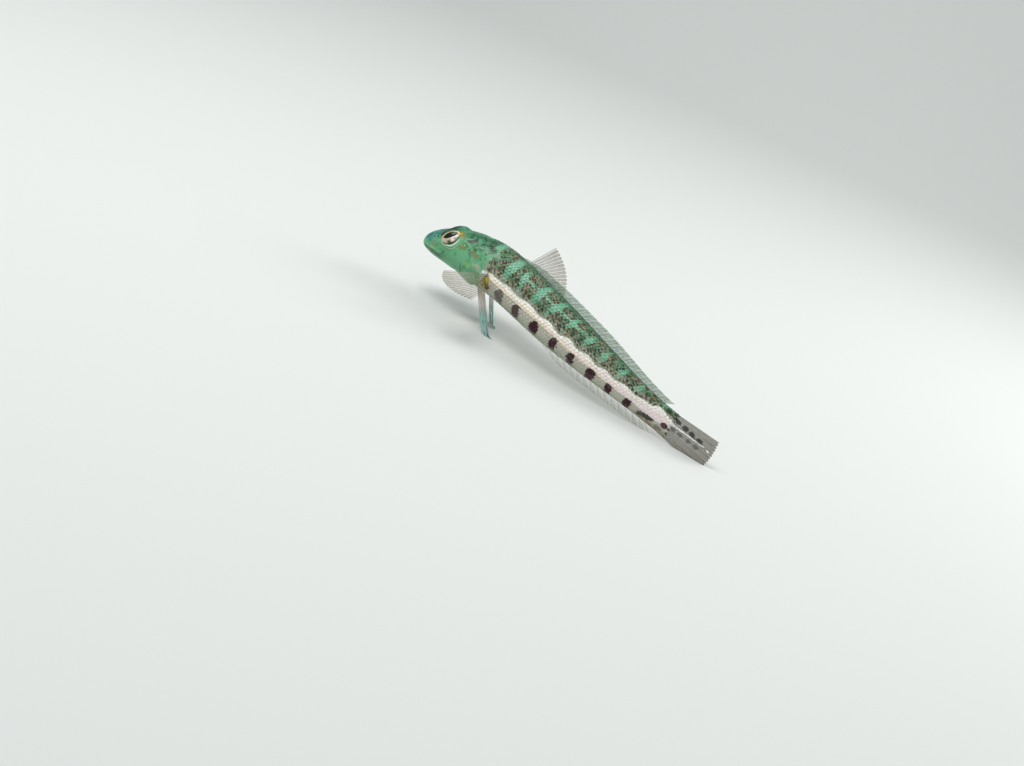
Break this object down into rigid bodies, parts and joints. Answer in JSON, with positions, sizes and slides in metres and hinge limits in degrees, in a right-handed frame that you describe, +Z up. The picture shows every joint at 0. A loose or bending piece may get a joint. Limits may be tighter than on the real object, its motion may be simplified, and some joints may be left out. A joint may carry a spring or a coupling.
{
  "type": "java sandperch model",
  "caption": "Still, life-size model of a java sandperch, a slender sea fish that rests on its pelvic fins and tail with its side fins spread.",
  "frame": {"origin": "middle of the bottom of the fish's box, on the floor it rests on", "axes": "+X from the head to the tail, +Z up, so the fish's left side faces -Y"},
  "size_m": [0.1682, 0.0812, 0.04],
  "materials": {
    "skin": "moist scaled skin, mint green back with brown flecks, white stripe and dark blotches",
    "fin": "thin translucent membrane over pale rays",
    "eye": "clear glossy cornea over a mottled iris and a dark pupil"
  },
  "bodies": {
    "root": {"head": "skin", "trunk_front": "skin", "trunk_middle": "skin", "trunk_rear": "skin", "tail_stalk": "skin", "eye_left": "eye", "eye_right": "eye", "dorsal_fin": "fin", "anal_fin": "fin", "caudal_fin": "fin", "pectoral_fin_left": "fin", "pectoral_fin_right": "fin", "pelvic_fin_left": "fin", "pelvic_fin_right": "fin"}
  },
  "joints": []
}
